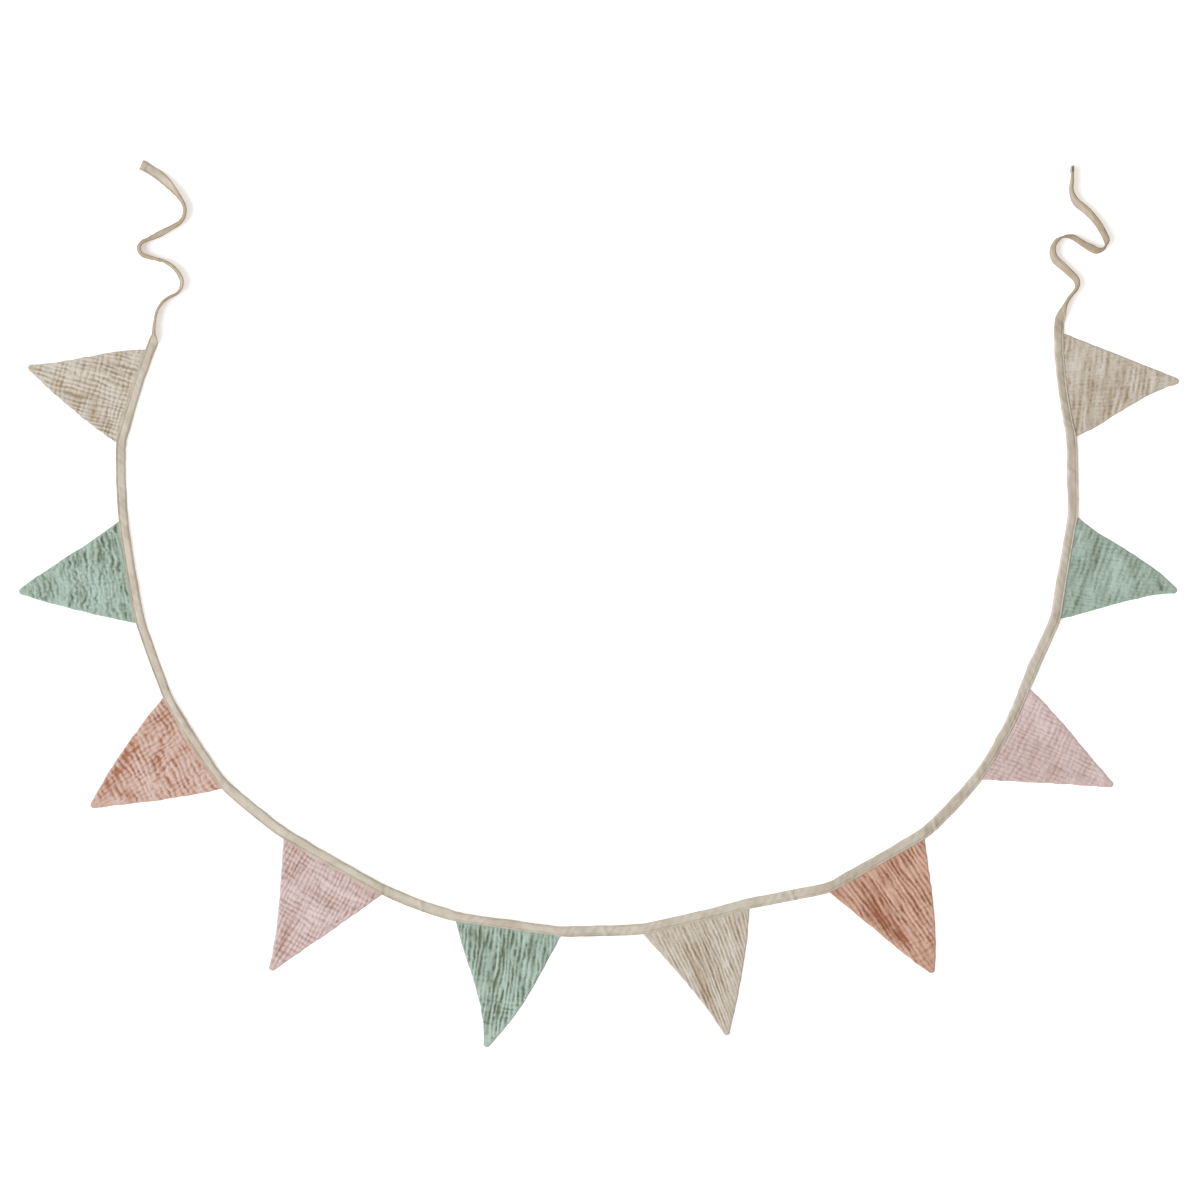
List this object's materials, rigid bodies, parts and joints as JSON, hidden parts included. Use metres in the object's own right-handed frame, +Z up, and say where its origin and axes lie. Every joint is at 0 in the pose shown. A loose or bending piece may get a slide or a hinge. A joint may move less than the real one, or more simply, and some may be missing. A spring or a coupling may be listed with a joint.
{
  "type": "fabric bunting",
  "caption": "Garland of crinkled cotton gauze pennant flags sewn into a folded cotton binding tape with loose tie ends, lying flat in an open U.",
  "frame": {"origin": "middle of the footprint, on the surface that the bunting lies on", "axes": "+X from the left tie to the right tie, +Y from the bottom of the U to its open end, +Z up"},
  "size_m": [1.5206, 1.1628, 0.0131],
  "materials": {
    "tape": "plain woven cotton, matte",
    "beige": "crinkled cotton gauze, matte",
    "sage": "crinkled cotton gauze, matte",
    "peach": "crinkled cotton gauze, matte",
    "terracotta": "crinkled cotton gauze, matte",
    "pink": "crinkled cotton gauze, matte"
  },
  "bodies": {
    "root": {"binding_tape": "tape", "flag_01": "beige", "flag_02": "sage", "flag_03": "peach", "flag_04": "pink", "flag_05": "sage", "flag_06": "beige", "flag_07": "terracotta", "flag_08": "pink", "flag_09": "sage", "flag_10": "beige"}
  },
  "joints": []
}
